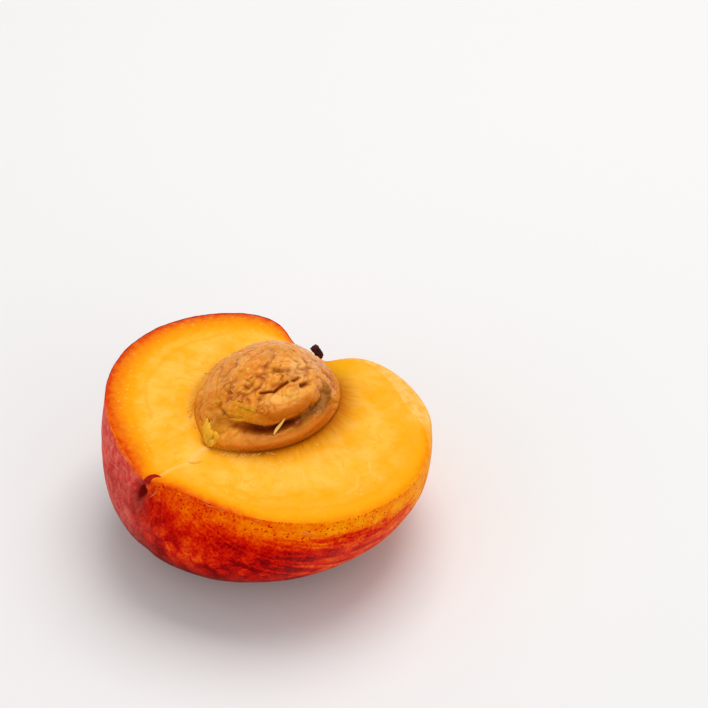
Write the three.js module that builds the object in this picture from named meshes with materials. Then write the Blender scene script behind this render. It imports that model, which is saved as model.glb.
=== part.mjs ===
// A peach half, cut side up: the flesh with its skin, the stone seated in it and the stub of the stem.
// Millimetres and degrees, +Z up. Everything is first shaped in the fruit's own frame: the cut is the plane
// z = 0, +Y runs from the pointed blossom tip to the stem, and +X points to the lobe that carries the suture
// groove. At the end the half leans a little and settles on a small flat spot of its round side.
import * as THREE from 'three';
import { ParametricGeometry } from 'three/addons/geometries/ParametricGeometry.js';
import { ImprovedNoise } from 'three/addons/math/ImprovedNoise.js';
import { mergeVertices } from 'three/addons/utils/BufferGeometryUtils.js';

// ---- Driving dimensions ----

// The outline of the cut is a slightly oval round, with a notch at the stem and a point at the blossom end.
const CUT = { centre: [3, 3], radius: 34.8, towardX: 1.9, towardY: 4.2, oval: 2.0 };
const NOTCH = { at: 91, depth: 10.4, rightHalf: 6.9, leftHalf: 23.4, rightSharpness: 2.2, leftSharpness: 5.8 };
const TIP = { at: 264.8, reach: 3.9, leftFade: 27, rightFade: 7 };

// Beside the suture groove the skin rounds over inward, so that the flesh ends before the outline does.
const LIP = {
  at: 52, width: 4.4, fadeBefore: 11.5, fadeAfter: 34, stop: 98, stopFade: 12, swell: 1.35, drop: 4.5,
};

// Below the cut the cheeks swell out, most at the stem shoulders, and the belly hangs towards the blossom tip.
const BODY = { radius: 42, towardX: 2.5, towardY: 7.5, oval: -2.0, skew: -1.4, depth: 33, fullness: 2.15 };
const BELLY = { shiftX: -8, shiftY: -4.5 };
const UNDERCUT = { fade: 20, sharpness: 1.5 };

// Under the tip the skin is pinched into a pocket, which runs out down the side as a crease. At the other end
// the wall of the stem cavity drops steeply from the notch.
const POCKET = { at: 262.2, depth: 2.6, halfTurn: 3.4, centre: 7.5, height: 5 };
const CREASE = { at: 268, depth: 1.0, halfTurn: 5, fade: 42 };
const STEM_CAVITY = { at: 94, depth: 2.2, halfTurn: 15, centre: 8, height: 6 };

// The cut itself: a low step from stone to tip, a hollow beside the stone, and edges that have drawn in.
const STEP = { height: 0.55, softness: 0.5, from: -11, to: -28, x: 3.3, lean: 0.13 };
const HOLLOW = { x: 22, y: 15, depth: 1.1, radius: 7 };
const EDGE_DROP = { depth: 0.35, sharpness: 14 };
const RIPPLE = { height: 0.16, length: 17 };

// The stone: an ovoid whose long axis lies in the cut, pointed at the blossom end. Its keel is on the suture
// side.
const STONE = { centre: [2.2, 9.9], turn: -0.5, halfLength: 18.25, keelHalf: 14.5, backHalf: 14.45 };
const STONE_RISE = { height: 11.4, fullness: 1.7 };
const STONE_DROP = { height: 9.5, fullness: 2.1 };
const STONE_TIP = { reach: 2.9, keelFade: 24.5, backFade: 14, bluntness: 1 };
// The keel's crest climbs towards the stem. A groove runs just beyond it, and a tongue swells over the groove.
const CREST = { lift: 11, climb: 0.0015, before: 150 };
const KEEL = { height: 0.8, beyond: -3, halfWidth: 5.5, from: 38, to: 186, fade: 16 };
const GROOVE = { height: -2.2, beyond: 4.8, halfWidth: 3.8, from: 84, to: 172, fade: 30 };
const STEM_GROOVE = { height: -1.1, beyond: 3, halfWidth: 3.4, from: 44, to: 100, fade: 20 };
const TONGUE = { height: 1.0, beyond: 18, halfWidth: 8, from: 66, to: 174, fade: 40 };
// On the stem side the stone slopes away more gently.
const SHOULDER = { depth: 1.95, at: 20, halfTurn: 28, lift: 23, halfLift: 19.5 };
// Cracks and pits, by place along the stone (towards the stem) and across it (towards the keel).
const CRACK = { along: [-12, -8.6, -4.5, 2.2], across: [2.2, 4.3, 5.8, 6.6], depth: 1.3, halfWidth: 0.95 };
const PITS = [
  { along: 0.2, across: 8.7, depth: 1.5, radius: 1.2 },
  { along: 5.8, across: 1.3, depth: 1.2, radius: 1.1 },
  { along: -7.0, across: -1.9, depth: 0.8, radius: 1.6 },
  { along: -9.9, across: 0.6, depth: 0.8, radius: 1.4 },
  { along: -2.2, across: 3.4, depth: 0.7, radius: 1.5 },
];
const WRINKLES = { height: 0.75, size: 4.6, stretch: 1.7 };

// The stem: a short broken stub that leans across the stem cavity.
const STEM = { foot: [-0.4, 32.3, -2.7], top: [-1.7, 31.0, 0.3], radius: 0.85, flare: 0.05, bow: 0.15 };

// How the half lies, and the gap between pieces that touch.
const LEAN = { angle: 6.2, toward: 37 };
const FLAT_DEPTH = 0.6;
const GAP = 0.3;

// Columns round the fruit, which the stone shares, and rings up each surface, closer together towards the cut.
const AROUND = 96;
const SKIN_RINGS = 18;
const CUT_RINGS = 5;
const CAVITY_RINGS = 9;
const STONE_RINGS = 24;
const TOWARDS_EDGE = 1.5;

// ---- Small helpers ----

const rad = THREE.MathUtils.degToRad;
const cosd = (angle) => Math.cos(rad(angle));
const sind = (angle) => Math.sin(rad(angle));
const bell = (distance, width) => Math.exp(-((distance / width) ** 2));
const noise = new ImprovedNoise();

/** The turn from angle b to angle a, between -180 and 180 degrees. */
function turn(a, b) {
  return THREE.MathUtils.euclideanModulo(a - b + 180, 360) - 180;
}

/** 1 between two angles and 0 well outside them, with soft ends. */
function span(angle, { from, to, fade }) {
  const middle = (from + to) / 2;
  const inside = (to - from) / 2 - Math.abs(turn(angle, middle));
  return THREE.MathUtils.smoothstep(inside, -fade / 2, fade / 2);
}

/** A closed mesh from a surface that is a ring at every height v and shrinks to a point at both ends. */
function closedSurface(pointAt, around, rings) {
  const surface = new ParametricGeometry(pointAt, around, rings);
  surface.deleteAttribute('normal');
  surface.deleteAttribute('uv');
  const merged = mergeVertices(surface);
  const corners = merged.index.array;
  const kept = [];
  for (let i = 0; i < corners.length; i += 3) {
    const [a, b, c] = corners.subarray(i, i + 3);
    if (a !== b && b !== c && c !== a) kept.push(a, b, c);
  }
  merged.setIndex(kept);
  return merged;
}

// ---- The outline of the cut ----

function notchAt(angle) {
  const away = turn(angle, NOTCH.at);
  const half = away > 0 ? NOTCH.leftHalf : NOTCH.rightHalf;
  const sharpness = away > 0 ? NOTCH.leftSharpness : NOTCH.rightSharpness;
  return NOTCH.depth / (1 + Math.abs(away / half) ** sharpness);
}

function tipAt(angle) {
  const away = turn(angle, TIP.at);
  return TIP.reach * Math.exp(-Math.abs(away) / (away > 0 ? TIP.rightFade : TIP.leftFade));
}

/** Radius of the cut's outline, from the centre of the cut. */
function outlineRadius(angle) {
  const round = CUT.radius + CUT.towardX * cosd(angle) + CUT.towardY * sind(angle);
  return round + CUT.oval * cosd(2 * angle) - notchAt(angle) + tipAt(angle);
}

/** How far inside the outline the flesh ends at the suture lip. */
function lipWidth(angle) {
  const away = turn(angle, LIP.at);
  const beforeStop = Math.max(turn(LIP.stop, angle), 0);
  const stop = 1 - bell(beforeStop, LIP.stopFade);
  return LIP.width * bell(away, away < 0 ? LIP.fadeBefore : LIP.fadeAfter) * stop;
}

function fleshEdgeRadius(angle) {
  return outlineRadius(angle) - lipWidth(angle);
}

// ---- The skin ----

/** Depth of a rounded dent in the skin, which starts just below the edge of the cut. */
function dent(angle, below, { at, depth, halfTurn, centre, height }) {
  return depth * bell(turn(angle, at), halfTurn) * bell(below - centre, height) * Math.min(below / 2, 1);
}

/** A point of the skin, by direction round the cut and by angle below it: 0 at the edge, 90 at the bottom. */
function skinPoint(angle, below, target) {
  const cheek = BODY.radius + BODY.towardX * cosd(angle) + BODY.towardY * sind(angle)
    + BODY.oval * cosd(2 * angle) + BODY.skew * sind(2 * angle);
  const power = BODY.fullness;
  const full = ((cosd(below) / cheek) ** power + (sind(below) / BODY.depth) ** power) ** (-1 / power);
  const lip = LIP.swell * lipWidth(angle);
  const undercut = cheek - fleshEdgeRadius(angle) - lip;
  const rounding = 1 - Math.sqrt(1 - (1 - Math.min(below / LIP.drop, 1)) ** 2);
  const drawnIn = undercut * Math.exp(-((below / UNDERCUT.fade) ** UNDERCUT.sharpness)) * cosd(below);
  let radius = full - drawnIn - lip * rounding;
  const crease = bell(turn(angle, CREASE.at), CREASE.halfTurn) * bell(below, CREASE.fade) * cosd(below);
  radius -= dent(angle, below, POCKET) + dent(angle, below, STEM_CAVITY);
  radius -= CREASE.depth * crease * Math.min(below / 4, 1);
  const drop = sind(below) ** 2;
  target.x = CUT.centre[0] + radius * cosd(below) * cosd(angle) + BELLY.shiftX * drop;
  target.y = CUT.centre[1] + radius * cosd(below) * sind(angle) + BELLY.shiftY * drop;
  target.z = -radius * sind(below);
}

// ---- The stone ----

/** Half width of the stone in the plane of the cut, by the turn from its stem end towards its keel. */
function stoneOutline(turned) {
  const half = sind(turned) > 0 ? STONE.keelHalf : STONE.backHalf;
  const oval = ((cosd(turned) / STONE.halfLength) ** 2 + (sind(turned) / half) ** 2) ** -0.5;
  const past = turn(turned, 180);
  const fromTip = Math.hypot(past, STONE_TIP.bluntness) - STONE_TIP.bluntness;
  return oval + STONE_TIP.reach * Math.exp(-fromTip / (past > 0 ? STONE_TIP.backFade : STONE_TIP.keelFade));
}

function crackDepth(along, across) {
  let nearest = Infinity;
  for (let i = 1; i < CRACK.along.length; i += 1) {
    const start = new THREE.Vector2(CRACK.along[i - 1], CRACK.across[i - 1]);
    const run = new THREE.Vector2(CRACK.along[i], CRACK.across[i]).sub(start);
    const here = new THREE.Vector2(along, across).sub(start);
    const share = THREE.MathUtils.clamp(here.dot(run) / run.lengthSq(), 0, 1);
    nearest = Math.min(nearest, here.sub(run.multiplyScalar(share)).length());
  }
  return CRACK.depth * bell(nearest, CRACK.halfWidth);
}

/** Ridges, cracks and pits of the upper side, as a change of the stone's radius. */
function stoneRelief(turned, lift, radius) {
  const along = radius * cosd(lift) * cosd(turned);
  const across = radius * cosd(lift) * sind(turned);
  const fromStem = THREE.MathUtils.euclideanModulo(turned, 360);
  const crest = CREST.lift + CREST.climb * Math.max(CREST.before - fromStem, 0) ** 2;
  let relief = -crackDepth(along, across);
  for (const band of [KEEL, GROOVE, STEM_GROOVE, TONGUE]) {
    relief += band.height * span(turned, band) * bell(lift - crest - band.beyond, band.halfWidth);
  }
  const { depth, at, halfTurn, halfLift } = SHOULDER;
  relief -= depth * bell(turn(turned, at), halfTurn) * bell(lift - SHOULDER.lift, halfLift);
  for (const pit of PITS) {
    relief -= pit.depth * bell(Math.hypot(along - pit.along, across - pit.across), pit.radius);
  }
  const { height, size, stretch } = WRINKLES;
  relief += height * noise.noise(along / (size * stretch), across / size, radius * sind(lift) / size);
  return relief * THREE.MathUtils.smoothstep(lift, 0, 6);
}

/** A point of the stone, or of its hollow where grow is the gap. Lift is 0 in the cut and 90 on top. */
function stonePoint(angle, lift, grow, target) {
  const turned = 90 - STONE.turn - angle;
  const half = lift > 0 ? STONE_RISE : STONE_DROP;
  const power = half.fullness;
  const flat = (cosd(lift) / stoneOutline(turned)) ** power;
  let radius = (flat + Math.abs(sind(lift) / half.height) ** power) ** (-1 / power);
  if (lift > 0) radius += stoneRelief(turned, lift, radius);
  radius += grow;
  target.x = STONE.centre[0] + radius * cosd(lift) * cosd(angle);
  target.y = STONE.centre[1] + radius * cosd(lift) * sind(angle);
  target.z = radius * sind(lift);
}

function makeStone() {
  return closedSurface((u, v, target) => {
    const ring = v * (CAVITY_RINGS + STONE_RINGS) - CAVITY_RINGS;
    const lift = ring < 0 ? 90 * ring / CAVITY_RINGS : 90 * (ring / STONE_RINGS) ** TOWARDS_EDGE;
    stonePoint(TIP.at + 360 * u, lift, 0, target);
  }, AROUND, CAVITY_RINGS + STONE_RINGS);
}

// ---- The flesh, one body with the skin ----

/** Height of the cut face. Inward is 0 at the skin and 1 at the stone. */
function cutHeight(x, y, inward) {
  const side = x - STEP.x - STEP.lean * (y - STEP.from);
  const { smoothstep } = THREE.MathUtils;
  const along = smoothstep(y, STEP.to, STEP.to + 5) * (1 - smoothstep(y, STEP.from, STEP.from + 3));
  const step = STEP.height * along * (0.5 - 0.5 * Math.tanh(side / STEP.softness)) * bell(side, 9);
  const hollow = HOLLOW.depth * bell(Math.hypot(x - HOLLOW.x, y - HOLLOW.y), HOLLOW.radius);
  const drawnIn = EDGE_DROP.depth * (1 - inward) ** EDGE_DROP.sharpness;
  const ripple = RIPPLE.height * Math.sin(x / RIPPLE.length * 6.3) * Math.cos(y / RIPPLE.length * 5 + 1);
  return (step - hollow + ripple) * Math.min(1, 8 * inward * (1 - inward)) - drawnIn * Math.min(1, 20 * inward);
}

/** A point of the cut face, on a straight line from the skin's edge to the mouth of the stone's hollow. */
function cutPoint(angle, inward, target) {
  const mouth = new THREE.Vector3();
  stonePoint(angle, 0, GAP, mouth);
  skinPoint(angle, 0, target);
  target.lerp(mouth, inward);
  target.z = cutHeight(target.x, target.y, inward);
}

function fleshPoint(u, v, target) {
  const angle = TIP.at + 360 * u;
  const ring = v * (SKIN_RINGS + CUT_RINGS + CAVITY_RINGS);
  if (ring <= SKIN_RINGS) {
    skinPoint(angle, 90 * (1 - ring / SKIN_RINGS) ** TOWARDS_EDGE, target);
  } else if (ring <= SKIN_RINGS + CUT_RINGS) {
    cutPoint(angle, (ring - SKIN_RINGS) / CUT_RINGS, target);
  } else {
    stonePoint(angle, -90 * (ring - SKIN_RINGS - CUT_RINGS) / CAVITY_RINGS, GAP, target);
  }
}

function makeFlesh() {
  return closedSurface(fleshPoint, AROUND, SKIN_RINGS + CUT_RINGS + CAVITY_RINGS);
}

// ---- The stem ----

function makeStem() {
  const foot = new THREE.Vector3(...STEM.foot);
  const top = new THREE.Vector3(...STEM.top);
  const axis = top.clone().sub(foot).normalize();
  const sideways = new THREE.Vector3(0, 0, 1).cross(axis).normalize();
  const upward = axis.clone().cross(sideways);
  const rings = 8;
  return closedSurface((u, v, target) => {
    const along = THREE.MathUtils.clamp((v * rings - 1) / (rings - 2), 0, 1);
    const closed = v === 0 || v === 1;
    const girth = closed ? 0 : STEM.radius * (1 + STEM.flare * along ** 2 + 0.1 * sind(3 * 360 * u));
    target.lerpVectors(foot, top, along);
    target.addScaledVector(upward, STEM.bow * Math.sin(Math.PI * along) + girth * sind(360 * u));
    target.addScaledVector(sideways, girth * cosd(360 * u));
  }, 14, rings);
}

// ---- Putting the pieces together ----

function piece(name, geometry, colour, roughness) {
  const material = new THREE.MeshStandardMaterial({ color: colour, roughness, metalness: 0 });
  const mesh = new THREE.Mesh(geometry, material);
  mesh.name = name;
  return mesh;
}

/** Leans the half, lowers it by the depth of its flat spot and centres it over the origin. */
function settle(pieces) {
  const axis = new THREE.Vector3(-sind(LEAN.toward), cosd(LEAN.toward), 0);
  const leaning = new THREE.Matrix4().makeRotationAxis(axis, rad(LEAN.angle));
  const box = new THREE.Box3();
  for (const { geometry } of pieces) {
    geometry.applyMatrix4(leaning);
    geometry.computeBoundingBox();
    box.union(geometry.boundingBox);
  }
  const middle = box.getCenter(new THREE.Vector3());
  for (const { geometry } of pieces) {
    geometry.translate(-middle.x, -middle.y, -box.min.z - FLAT_DEPTH);
    const places = geometry.attributes.position;
    for (let i = 0; i < places.count; i += 1) places.setZ(i, Math.max(places.getZ(i), 0));
    geometry.computeVertexNormals();
  }
}

const half = new THREE.Group();
half.add(piece('flesh', makeFlesh(), 0xf7b43c, 0.45));
half.add(piece('stone', makeStone(), 0xc98a4e, 0.7));
half.add(piece('stem', makeStem(), 0x3a2418, 0.9));
settle(half.children);

export default half;
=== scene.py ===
# %% [markdown]
# # Half a peach, cut side up
# A ripe peach has been cut along its suture and twisted apart, and this is the half that kept the stone. It
# has four things to get right: wet golden flesh, thin fuzzy skin that blushes from yellow to crimson, a
# furrowed woody stone, and the dry stub of the stem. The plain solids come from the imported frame. Each one
# gets a much finer mesh of the same form here, worked out from a few named sizes, and its own procedural
# material.

# %% Load the frame
import math

import bpy
import numpy as np
from mathutils import Matrix, Vector, noise


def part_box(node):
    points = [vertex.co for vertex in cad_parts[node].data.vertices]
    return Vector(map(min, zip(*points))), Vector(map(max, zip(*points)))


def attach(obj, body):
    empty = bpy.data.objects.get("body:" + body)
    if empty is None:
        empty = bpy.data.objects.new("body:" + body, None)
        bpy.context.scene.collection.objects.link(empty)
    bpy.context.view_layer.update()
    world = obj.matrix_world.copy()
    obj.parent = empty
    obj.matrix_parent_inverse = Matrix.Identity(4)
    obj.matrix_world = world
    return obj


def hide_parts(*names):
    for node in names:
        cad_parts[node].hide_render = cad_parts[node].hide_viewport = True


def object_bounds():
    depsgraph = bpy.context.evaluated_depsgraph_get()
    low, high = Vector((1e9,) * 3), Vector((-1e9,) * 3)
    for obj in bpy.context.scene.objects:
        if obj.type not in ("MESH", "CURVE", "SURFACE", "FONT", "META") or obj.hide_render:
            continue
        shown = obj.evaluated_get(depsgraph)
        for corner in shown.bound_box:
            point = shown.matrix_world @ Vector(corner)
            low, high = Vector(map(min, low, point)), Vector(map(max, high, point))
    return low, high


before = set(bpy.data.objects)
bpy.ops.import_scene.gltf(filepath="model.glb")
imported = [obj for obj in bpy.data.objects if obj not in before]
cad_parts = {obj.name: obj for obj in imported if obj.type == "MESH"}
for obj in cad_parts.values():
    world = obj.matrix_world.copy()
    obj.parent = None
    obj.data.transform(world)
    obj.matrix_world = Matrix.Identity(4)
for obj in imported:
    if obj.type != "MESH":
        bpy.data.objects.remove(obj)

cad_low, cad_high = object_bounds()
cad_size = [round(1000 * side, 1) for side in cad_high - cad_low]
print("solids:", sorted(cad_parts), "size in mm:", cad_size)

# %% [markdown]
# ## The camera
# A long lens looks down on the cut from the side of the blossom tip, so that the face of the cut, the stone
# and the front of the skin all show. The camera is placed by the point that it aims at, a direction and a
# distance, which is easier to adjust than a bare position.

# %% Camera
MM = 0.001
AIM = (4.31, 27.56, 32.27)
DISTANCE = 565.3
AZIMUTH = 37.28
ELEVATION = 39.24
LENS = 127.7


def direction(azimuth, elevation):
    """Unit vector towards a viewer: azimuth 0 is the -Y side, and elevation is the angle above level."""
    across, up = math.radians(azimuth), math.radians(elevation)
    return Vector((math.sin(across) * math.cos(up), -math.cos(across) * math.cos(up), math.sin(up)))


def look_at(thing, target):
    thing.rotation_euler = (target - thing.location).to_track_quat("-Z", "Y").to_euler()


camera = bpy.data.objects.new("camera", bpy.data.cameras.new("camera"))
bpy.context.scene.collection.objects.link(camera)
bpy.context.scene.camera = camera
camera.location = (Vector(AIM) + DISTANCE * direction(AZIMUTH, ELEVATION)) * MM
look_at(camera, Vector(AIM) * MM)
camera.data.lens = LENS
camera.data.clip_start = 0.01
print("camera at", [round(1000 * value) for value in camera.location], "mm")

# %% [markdown]
# ## Shapes as formulas
# A fruit is round all the way, so each surface is written in polar form: a direction round the cut, an
# angle above or below it, and a radius that a short formula gives. Sculpting would also do, but formulas
# can be read, repeated and adjusted. NumPy works them out for all points at once. A few helpers make bumps,
# windows and noise.

# %% Helpers for shapes, in degrees and millimetres
SEED_STEP = np.array((17.3, -9.1, 5.7))


def cosd(angle):
    return np.cos(np.radians(angle))


def sind(angle):
    return np.sin(np.radians(angle))


def unit(vectors):
    """The same directions, each with a length of 1."""
    return vectors / np.linalg.norm(vectors, axis=-1, keepdims=True)


def bell(distance, width):
    """1 at no distance, falling off softly."""
    return np.exp(-(distance / width) ** 2)


def turn(angle, other):
    """The turn from one angle to another, between -180 and 180."""
    return (angle - other + 180) % 360 - 180


def ramp(value, low, high):
    """0 below low, 1 above high and a soft step between them."""
    share = np.clip((value - low) / (high - low), 0, 1)
    return share * share * (3 - 2 * share)


def span(angle, start, end, fade):
    """1 between two angles and 0 well outside them."""
    inside = (end - start) / 2 - np.abs(turn(angle, (start + end) / 2))
    return ramp(inside, -fade / 2, fade / 2)


def patches(angle, height, *rows):
    """Soft ovals, added up. Each row: weight, direction, half width, height and half height."""
    return sum(weight * bell(turn(angle, at), half_turn) * bell(height - middle, half_height)
               for weight, at, half_turn, middle, half_height in rows)


def near_line(x, y, corners):
    """Distance from each place to a line through some corners."""
    nearest = np.full(np.shape(x), np.inf)
    for start, end in zip(corners, corners[1:]):
        run = np.subtract(end, start)
        share = np.clip(((x - start[0]) * run[0] + (y - start[1]) * run[1]) / (run @ run), 0, 1)
        nearest = np.minimum(nearest, np.hypot(x - start[0] - share * run[0], y - start[1] - share * run[1]))
    return nearest


def rough(points, size, seed):
    """Smooth noise between about -1 and 1 at each point, with bumps about one size across."""
    places = np.asarray(points, float) / size + seed * SEED_STEP
    values = [noise.noise(place) for place in places.reshape(-1, 3).tolist()]
    return np.array(values).reshape(places.shape[:-1])


print("a soft step, by quarters:", ramp(np.linspace(0, 1, 5), 0, 1).round(2))

# %% The outline of the cut
CENTRE = (3, 3)
STEM_AT = 91
TIP_AT = 264.8


def outline(angle):
    """Radius of the cut's outline: an oval with a notch at the stem and a point at the blossom end."""
    oval = 34.8 + 1.9 * cosd(angle) + 4.2 * sind(angle) + 2.0 * cosd(2 * angle)
    away = turn(angle, STEM_AT)
    half, sharpness = np.where(away > 0, 23.4, 6.9), np.where(away > 0, 5.8, 2.2)
    notch = 10.4 / (1 + np.abs(away / half) ** sharpness)
    away = turn(angle, TIP_AT)
    return oval - notch + 3.9 * np.exp(-np.abs(away) / np.where(away > 0, 7, 27))


def lip_width(angle):
    """How far the skin rounds over inward beside the suture groove, before the flesh starts."""
    away = turn(angle, 52)
    stop = 1 - bell(np.maximum(turn(98, angle), 0), 12)
    return 4.4 * bell(away, np.where(away < 0, 11.5, 34)) * stop


print("radius at the stem and at the tip:", outline(np.array([STEM_AT, TIP_AT])).round(1))

# %% The skin's surface
BODY_DEPTH = 33
FULLNESS = 2.15
# The pinched pocket under the tip and the hollow behind the stem, in rows for patches.
DENTS = ((2.6, 262.2, 3.4, 7.5, 5), (2.2, 94, 15, 8, 6))


def skin_point(angle, below):
    """A point of the skin, by direction round the cut and angle below it: 0 at the edge, 90 at the bottom."""
    cheek = 42 + 2.5 * cosd(angle) + 7.5 * sind(angle) - 2.0 * cosd(2 * angle) - 1.4 * sind(2 * angle)
    full = ((cosd(below) / cheek) ** FULLNESS + (sind(below) / BODY_DEPTH) ** FULLNESS) ** (-1 / FULLNESS)
    lip = 1.35 * lip_width(angle)
    undercut = cheek - (outline(angle) - lip_width(angle)) - lip
    rounding = 1 - np.sqrt(1 - (1 - np.minimum(below / 4.5, 1)) ** 2)
    radius = full - undercut * np.exp(-(below / 20) ** 1.5) * cosd(below) - lip * rounding
    radius = radius - patches(angle, below, *DENTS) * np.minimum(below / 2, 1)
    crease = bell(turn(angle, 268), 5) * bell(below, 42) * cosd(below)
    radius = radius - crease * np.minimum(below / 4, 1)
    drop = sind(below) ** 2
    x = CENTRE[0] + radius * cosd(below) * cosd(angle) - 8 * drop
    y = CENTRE[1] + radius * cosd(below) * sind(angle) - 4.5 * drop
    return np.stack([x, y, -radius * sind(below)], -1)


bottom = skin_point(0.0, 90.0)
print("the bottom lies at", bottom.round(1), "mm from the fruit's centre")

# %% The stone's surface
STONE_CENTRE = (2.2, 9.9)
STONE_TURN = -0.5
STONE_HALF_LENGTH = 18.25
STONE_RISE = (11.4, 1.7)
STONE_DROP = (9.5, 2.1)


def stone_turned(angle):
    """Turn round the stone: 0 is its stem end, 90 the side of its keel and 180 its tip."""
    return (90 - STONE_TURN - angle) % 360


def stone_outline(turned):
    half = np.where(sind(turned) > 0, 14.5, 14.45)
    oval = ((cosd(turned) / STONE_HALF_LENGTH) ** 2 + (sind(turned) / half) ** 2) ** -0.5
    past = turn(turned, 180)
    return oval + 2.9 * np.exp(-(np.hypot(past, 1) - 1) / np.where(past > 0, 14, 24.5))


def stone_body(turned, lift):
    """Radius of the smooth stone. Lift is the angle above the cut, or below it where it is negative."""
    up = lift > 0
    height, power = np.where(up, STONE_RISE[0], STONE_DROP[0]), np.where(up, STONE_RISE[1], STONE_DROP[1])
    flat = (cosd(lift) / stone_outline(turned)) ** power
    return (flat + np.abs(sind(lift) / height) ** power) ** (-1 / power)


def stone_place(turned, lift, radius):
    """Point of the stone in the fruit's frame."""
    angle = 90 - STONE_TURN - turned
    x = STONE_CENTRE[0] + radius * cosd(lift) * cosd(angle)
    y = STONE_CENTRE[1] + radius * cosd(lift) * sind(angle)
    return np.stack([x, y, radius * sind(lift)], -1)


print("the stone is", stone_outline(np.array([0, 180])).sum().round(1), "mm long")

# %% How the half lies
LEAN_ANGLE = 6.2
LEAN_TOWARD = 37
FLAT_DEPTH = 0.6
lean_axis = Vector((-math.sin(math.radians(LEAN_TOWARD)), math.cos(math.radians(LEAN_TOWARD)), 0))
lean = np.array(Matrix.Rotation(math.radians(LEAN_ANGLE), 3, lean_axis))
flesh_low, flesh_high = (np.array(corner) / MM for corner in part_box("flesh"))
around, down = np.meshgrid(np.arange(0, 360, 1.0), np.arange(0, 91, 1.0))
leaning = skin_point(around, down).reshape(-1, 3) @ lean.T
offset = (flesh_low + flesh_high) / 2 - (leaning.min(0) + leaning.max(0)) / 2
offset[2] = -leaning[:, 2].min() - FLAT_DEPTH
print("the fruit's centre sits at", offset.round(2), "mm in the frame")


def settle(points):
    """Carries points from the fruit's own frame, where the cut is level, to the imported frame, in metres."""
    placed = points @ lean.T + offset
    return np.clip(placed, np.array(cad_low) / MM, np.array(cad_high) / MM) * MM


# %% [markdown]
# ## From rings of points to a mesh
# Every surface here is a stack of closed rings with a point at each end, like the lines on a globe. A few
# helpers turn such a stack into a closed mesh and store painted values on its vertices. Those values, such
# as how red the blush is, let a shader know where it is on the fruit.

# %% Mesh helpers


def ring_faces(rows, columns, first=0):
    """Faces over a stack of closed rings, with a fan to the point before them and to the point after them."""
    here = first + 1 + np.arange(columns)
    after = np.roll(here, -1)
    top = (rows - 1) * columns
    end = first + 1 + rows * columns
    faces = [(first, b, a) for a, b in zip(here.tolist(), after.tolist())]
    for low in range(0, top, columns):
        high = low + columns
        faces += np.stack([here + low, after + low, after + high, here + high], -1).tolist()
    return faces + [(a, b, end) for a, b in zip((here + top).tolist(), (after + top).tolist())]


def with_ends(values, first, last):
    """Values for all points of a stack of rings, with those of its two end points."""
    return np.concatenate([[first], values.reshape(-1, *values.shape[2:]), [last]])


def paint(mesh, name, values):
    """Stores one number, or one vector, for each vertex."""
    values = np.asarray(values, np.float32)
    kind, field = ("FLOAT", "value") if values.ndim == 1 else ("FLOAT_VECTOR", "vector")
    mesh.attributes.new(name, kind, "POINT").data.foreach_set(field, values.ravel())


def paint_marks(mesh, marks, first=None, last=None):
    """Paints named values. An end point takes the number given, or else the mean of the ring beside it."""
    for name, values in marks.items():
        start = values[0].mean() if first is None else first
        end = values[-1].mean() if last is None else last
        paint(mesh, name, with_ends(values, start, end))
    print("painted on", mesh.name + ":", ", ".join(marks))


def new_mesh(name, points, faces):
    """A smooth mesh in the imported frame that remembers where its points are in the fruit's own frame."""
    mesh = bpy.data.meshes.new(name)
    mesh.from_pydata(settle(points), [], faces)
    mesh.shade_smooth()
    paint(mesh, "fruit", points)
    return mesh


def closed_mesh(name, first, rings, last):
    """A closed mesh from rings of points, with a single point before the first ring and after the last."""
    return new_mesh(name, with_ends(rings, first, last), ring_faces(*rings.shape[:2]))


def piece(name, mesh, *materials):
    """Puts a mesh in the scene as a named object that moves with the fruit."""
    made = bpy.data.objects.new(name, mesh)
    bpy.context.scene.collection.objects.link(made)
    for material in materials:
        made.data.materials.append(material)
    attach(made, "root")
    print(name, len(mesh.vertices), "points")
    return made


# %% [markdown]
# ## Effects that several materials share
# Fruit has no even colour anywhere. Soft cloudy mottling returns on all its parts, small specks on its skin
# and its flesh, and thin wandering threads in the flesh. Each is a node group that is built once. It takes
# a place on the fruit in millimetres and gives back a mask from 0 to 1, and each material uses it with its
# own sizes.

# %% Node helpers


def plug(tree, socket, value):
    """Fills a socket with a value, or links it where the value is another node's output."""
    if isinstance(value, bpy.types.NodeSocket):
        tree.links.new(value, socket)
    else:
        socket.default_value = value


def put(tree, kind, sockets, **settings):
    """Adds a node with its settings, and fills or links some of its sockets."""
    made = tree.nodes.new(kind)
    for name, value in settings.items():
        setattr(made, name, value)
    for name, value in sockets.items():
        plug(tree, made.inputs[name], value)
    return made


def maths(tree, operation, a, b=0.0, clamp=False):
    return put(tree, "ShaderNodeMath", {0: a, 1: b}, operation=operation, use_clamp=clamp).outputs[0]


def remap(tree, value, low, high, to_low=0.0, to_high=1.0):
    """A soft step from to_low, where the value is low, to to_high."""
    sockets = {"Value": value, "From Min": low, "From Max": high, "To Min": to_low, "To Max": to_high}
    return put(tree, "ShaderNodeMapRange", sockets, interpolation_type="SMOOTHSTEP").outputs["Result"]


def painted(tree, name, output="Fac"):
    """A painted number, or with the output Vector a painted vector."""
    return put(tree, "ShaderNodeAttribute", {}, attribute_name=name).outputs[output]


def colour(red, green, blue):
    """A colour as a screen shows it, from 0 to 255, in the linear values that shaders use."""
    shares = (value / 255 for value in (red, green, blue))
    return (*(s / 12.92 if s <= 0.04045 else ((s + 0.055) / 1.055) ** 2.4 for s in shares), 1.0)


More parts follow.
